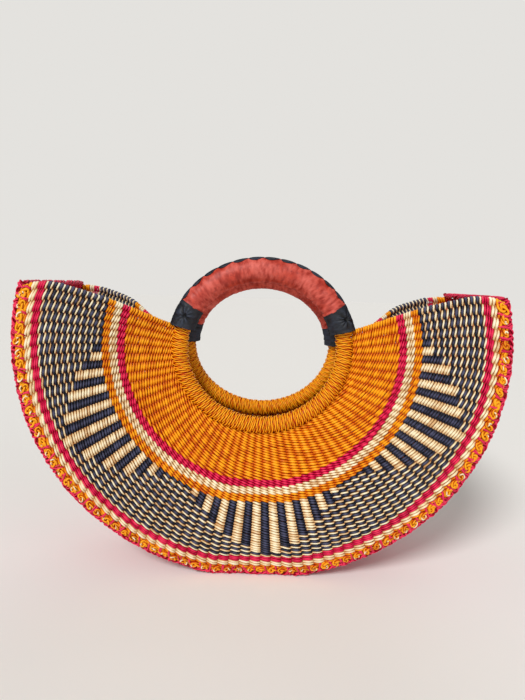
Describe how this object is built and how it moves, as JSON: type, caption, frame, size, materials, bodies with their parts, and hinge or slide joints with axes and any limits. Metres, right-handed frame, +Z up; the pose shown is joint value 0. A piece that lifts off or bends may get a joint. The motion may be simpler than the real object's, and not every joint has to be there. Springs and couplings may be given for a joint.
{
  "type": "straw handbag basket",
  "caption": "Half-moon woven straw handbag: two fan-shaped walls round oval handle rings, with leather grips, joined by a gusset strip and open along the top.",
  "frame": {"origin": "centre of the flat base strip, on the table", "axes": "+X along the mouth, to the right seen from the front; +Y from the front wall to the back wall; +Z up"},
  "size_m": [0.463, 0.156, 0.3304],
  "materials": {
    "straw_orange": "dyed straw, satin",
    "straw_magenta": "dyed straw, satin",
    "straw_natural": "natural straw, satin",
    "straw_pattern": "black and natural straw rows, satin",
    "leather_red": "soft terracotta leather",
    "leather_black": "soft black leather",
    "hoop_cane": "bare cane",
    "grip_padding": "plain padding"
  },
  "bodies": {
    "base": {"gusset_base": "straw_magenta", "gusset_side_left": "straw_magenta", "gusset_side_right": "straw_magenta", "gusset_hem_left": "straw_magenta", "gusset_hem_right": "straw_magenta"},
    "front_wall": {"front_hoop": "hoop_cane", "front_ring_wrap": "straw_orange", "front_grip_padding": "grip_padding", "front_grip_leather": "leather_red", "front_grip_lacing": "leather_black", "front_cuff_right": "leather_black", "front_cuff_left": "leather_black", "front_field": "straw_orange", "front_inner_magenta_band": "straw_magenta", "front_inner_natural_band": "straw_natural", "front_inner_orange_band": "straw_orange", "front_pattern_band": "straw_pattern", "front_outer_magenta_band": "straw_magenta", "front_outer_natural_band": "straw_natural", "front_knot_border": "straw_orange", "front_seam_lashing": "straw_magenta"},
    "back_wall": {"back_hoop": "hoop_cane", "back_ring_wrap": "straw_orange", "back_grip_padding": "grip_padding", "back_grip_leather": "leather_red", "back_grip_lacing": "leather_black", "back_cuff_right": "leather_black", "back_cuff_left": "leather_black", "back_field": "straw_orange", "back_inner_magenta_band": "straw_magenta", "back_inner_natural_band": "straw_natural", "back_inner_orange_band": "straw_orange", "back_pattern_band": "straw_pattern", "back_outer_magenta_band": "straw_magenta", "back_outer_natural_band": "straw_natural", "back_knot_border": "straw_orange", "back_seam_lashing": "straw_magenta"}
  },
  "joints": [
    {"name": "front_wall_flex", "type": "hinge", "parent": "base", "child": "front_wall", "pos_m": [0, -0.046, 0.0036], "axis": [1, 0, 0], "range_deg": [0, 4], "stiffness_Nm_per_rad": 20, "springref_deg": -1.15},
    {"name": "back_wall_flex", "type": "hinge", "parent": "base", "child": "back_wall", "pos_m": [0, 0.046, 0.0036], "axis": [-1, 0, 0], "range_deg": [0, 4], "stiffness_Nm_per_rad": 20, "springref_deg": -1.15}
  ]
}
